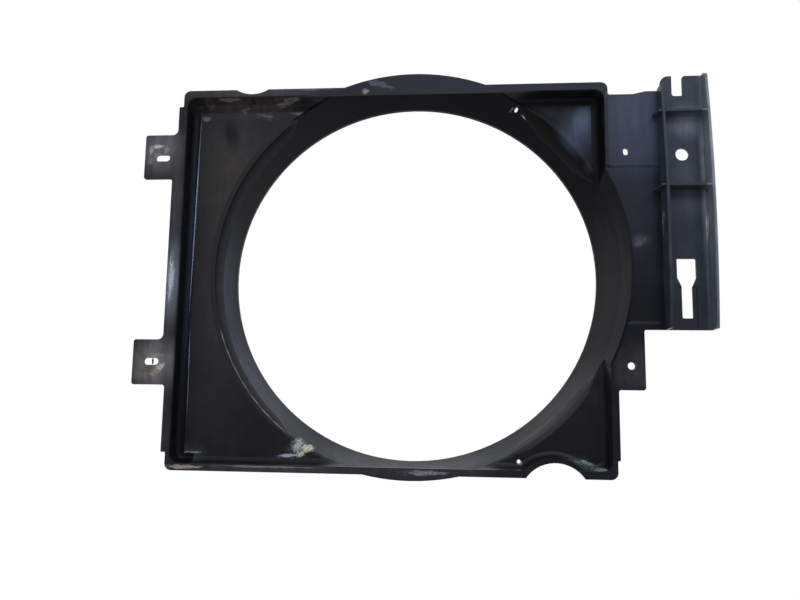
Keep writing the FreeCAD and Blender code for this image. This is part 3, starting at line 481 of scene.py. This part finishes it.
def fan_distance(vert):
    """How far a vertex lies from the fan's axis."""
    return math.hypot(vert.co.x, vert.co.z)


# a rounded edge is spun in steps of this many degrees, and its ends sink to this share
# of its height along this curve
SPIN_STEP = 1.5
END_HEIGHT = 0.04
END_CURVE = 0.7
# an edge that is drawn in stays put at its end angle, and has moved fully at 1 / 1.6 of
# its length from there; the shift fades out towards the outer foot, and comes to follow
# the ring's slope over 12 mm of depth
SHIFT_RISE = 1.6
SHIFT_OUTER_RADIUS = 252
SHIFT_OUTER_FADE = 5
SHIFT_DEPTH_FADE = 12
# lengths in metres that differ by less than this are the same
SAME_PLACE = 0.1 * MM
# the crest is rounded in so many steps, and edges over this angle stay sharp
CREST_SEGMENTS = 4
SHARP_ANGLE = 50


def ring_edge(node, skin, section, start, end, soft, drawn_in, run_out):
    """A rounded edge along the ring's foot, in place of the plain one.

    The section is in radius and depth: outer foot, crest, crest, inner face, inner foot
    and a point inside the wall. soft is the rounding of the crest, drawn_in is how far
    the edge moves down the ring at its start, and run_out is the angle over which each
    end dies away.
    """
    form = bmesh.new()
    corners = [form.verts.new((radius * MM, depth * MM, 0.0)) for radius, depth in section]
    face = form.faces.new(corners)
    bmesh.ops.rotate(form, verts=corners, matrix=Matrix.Rotation(-math.radians(start), 3, "Y"))
    bmesh.ops.spin(form, geom=[face, *face.edges, *face.verts], axis=(0.0, -1.0, 0.0),
                   angle=math.radians(end - start), steps=round((end - start) / SPIN_STEP))
    top = min(depth for _, depth in section) * MM
    crest = [edge for edge in form.edges
             if all(abs(vert.co.y - top) < SAME_PLACE for vert in edge.verts)
             and abs(fan_distance(edge.verts[0]) - fan_distance(edge.verts[1])) < SAME_PLACE]
    bmesh.ops.bevel(form, geom=crest, offset=soft * MM, segments=CREST_SEGMENTS, profile=0.5,
                    affect="EDGES", material=-1)
    for vert in form.verts:
        radius = fan_distance(vert) / MM
        depth = vert.co.y / MM
        angle = math.degrees(math.atan2(vert.co.z, vert.co.x)) % 360
        along = part_way((end - angle) / (end - start))
        shift = (drawn_in * min(along * SHIFT_RISE, 1.0)
                 * part_way((SHIFT_OUTER_RADIUS - radius) / SHIFT_OUTER_FADE))
        depth += shift * RING_SLOPE * part_way((depth - FLOOR_DEPTH) / SHIFT_DEPTH_FADE)
        radius -= shift
        near_end = min(abs(angle - start), abs(end - angle)) / run_out
        height = END_HEIGHT + (1 - END_HEIGHT) * min(near_end, 1.0) ** END_CURVE
        radius = RING_FOOT + (radius - RING_FOOT) * height
        depth = FLOOR_DEPTH + (depth - FLOOR_DEPTH) * height
        around = math.radians(angle)
        vert.co = Vector((radius * math.cos(around), depth, radius * math.sin(around))) * MM
    bmesh.ops.recalc_face_normals(form, faces=form.faces)
    edge = place_piece(f"{node}_rounded", form, skin)
    edge.data.shade_smooth()
    edge.data.set_sharp_from_angle(angle=math.radians(SHARP_ANGLE))
    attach(edge, "root")
    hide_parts(node)


def off_the_ring(radius, behind):
    """A point of a section, so far behind the ring's inner face at a radius."""
    return radius, FLOOR_DEPTH + (RING_FOOT - radius) * RING_SLOPE + behind


ring_edge("rim_bead_left", left_bead_skin, [
    (252.0, 20.3), (246.6, 18.9), (244.9, 18.9), off_the_ring(241.8, -2.8),
    off_the_ring(240.2, 1.2), (245.0, 24.5)],
    start=127.0, end=233.1, soft=0.7, drawn_in=2.6, run_out=5.0)
ring_edge("rim_bead_lower_right", right_bead_skin, [
    (252.0, 20.3), (247.4, 18.4), (244.8, 18.4), off_the_ring(240.2, -3.0),
    off_the_ring(238.3, 1.2), (244.8, 24.5)],
    start=297.0, end=330.0, soft=0.9, drawn_in=0.0, run_out=6.0)
ring_edge("pocket_shoulder", pocket_skin, [
    (256.0, 20.3), (249.5, 19.0), (243.8, 19.0), off_the_ring(237.2, -2.6),
    off_the_ring(235.0, 1.2), (244.8, 24.5)],
    start=26.0, end=58.5, soft=2.4, drawn_in=0.0, run_out=9.0)


# ---- dirt ----

def slot_dirt(name, skin, centre, half_size):
    """A lump of caked dirt that bridges a mounting slot."""
    form = bmesh.new()
    bmesh.ops.create_icosphere(form, subdivisions=3, radius=MM)
    bmesh.ops.scale(form, verts=form.verts, vec=half_size)
    bmesh.ops.translate(form, verts=form.verts, vec=[c * MM for c in centre])
    lump = place_piece(name, form, skin)
    lump.data.shade_smooth()
    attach(lump, "root")


slot_dirt("lower_left_slot_dirt", caked_dirt,
          centre=(-308.9, 1.2, -114.3), half_size=(1.0, 1.2, 4.0))


# ---- floor, light and camera ----

def lay_floor(height, reach):
    """A pale round studio floor of matt paper, well below the part."""
    paper = blank_material("pale_studio_paper")
    matt = add_node(paper.node_tree, "ShaderNodeBsdfDiffuse", {"Color": linear("#d6d6d6")})
    add_node(paper.node_tree, "ShaderNodeOutputMaterial", {"Surface": matt.outputs[0]})
    form = bmesh.new()
    bmesh.ops.create_circle(form, cap_ends=True, segments=96, radius=reach)
    bmesh.ops.translate(form, verts=form.verts, vec=(0.0, 0.0, height))
    floor = place_piece("studio_floor", form, paper)


def hang_lamp(name, place, aim, width, height, radiance, colour):
    """A soft rectangular lamp of a given brightness, where 1 looks white."""
    light = bpy.data.lights.new(name, "AREA")
    light.shape = "RECTANGLE"
    light.size = width
    light.size_y = height
    light.energy = radiance * math.pi * width * height
    light.color = linear(colour)[:3]
    lamp = bpy.data.objects.new(name, light)
    lamp.location = place
    lamp.rotation_euler = (Vector(aim) - Vector(place)).to_track_quat("-Z", "Y").to_euler()
    bpy.context.scene.collection.objects.link(lamp)


# the white wall's side, as mirrored rays see it, how bright the dim room is, and how
# bright the fill light
WALL_SIDE = (0.46, 0.76, 0.46)
ROOM_BRIGHTNESS = 0.1
FILL_BRIGHTNESS = 0.75


def surround():
    """White to the eye, an even fill light, and reflections of a wall behind the part."""
    world = bpy.data.worlds.new("studio")
    bpy.context.scene.world = world
    world.use_nodes = True
    tree = world.node_tree
    tree.nodes.clear()
    path = add_node(tree, "ShaderNodeLightPath")
    # reflections see the white wall behind the part, and a dim room in front of it
    direction = add_node(tree, "ShaderNodeTexCoord").outputs["Generated"]
    towards_wall = add_node(tree, "ShaderNodeVectorMath", {
        0: direction, 1: WALL_SIDE}, operation="DOT_PRODUCT").outputs["Value"]
    wall = ease(tree, towards_wall, -0.25, 0.8, ROOM_BRIGHTNESS, 1.0)
    mirrored = combine(tree, "MAXIMUM", path.outputs["Is Glossy Ray"],
                       path.outputs["Is Transmission Ray"])
    brightness = combine(tree, "MAXIMUM", path.outputs["Is Camera Ray"],
                         combine(tree, "MULTIPLY", mirrored, wall))
    seen = combine(tree, "MAXIMUM", path.outputs["Is Camera Ray"], mirrored)
    fill = add_node(tree, "ShaderNodeBackground", {
        "Color": linear("#f4f6ff"), "Strength": FILL_BRIGHTNESS})
    white = add_node(tree, "ShaderNodeBackground", {
        "Color": linear("#ffffff"), "Strength": brightness})
    mix = add_node(tree, "ShaderNodeMixShader", {
        0: seen, 1: fill.outputs[0], 2: white.outputs[0]})
    add_node(tree, "ShaderNodeOutputWorld", {"Surface": mix.outputs[0]})


def set_camera():
    """A camera before the part and below its middle, turned a little left and up."""
    camera = bpy.data.cameras.new("view")
    camera.sensor_width = 36.0
    camera.lens = 31.5
    camera.shift_x = 0.03375
    camera.shift_y = 0.06125
    right = Vector((0.99674, 0.07859, 0.01831))
    up = Vector((-0.00819, -0.12711, 0.99185))
    back = Vector((0.08028, -0.98877, -0.12605))
    turn = Matrix((right, up, back)).transposed()
    view = bpy.data.objects.new("view", camera)
    view.matrix_world = Matrix.Translation((0.0208, -0.8081, -0.2006)) @ turn.to_4x4()
    bpy.context.scene.collection.objects.link(view)
    bpy.context.scene.camera = view


lay_floor(height=-0.55, reach=0.68)
surround()
hang_lamp("window_right", place=(0.6, -2.0, 1.42), aim=(0.1, 0.0, 0.1),
          width=2.1, height=1.1, radiance=2.0, colour="#d2dcff")
hang_lamp("pale_wall_left", place=(-1.3, -2.0, 0.9), aim=(0.0, 0.0, 0.0),
          width=1.5, height=1.5, radiance=0.4, colour="#fff6ee")
set_camera()
bpy.context.scene.view_settings.view_transform = "Standard"
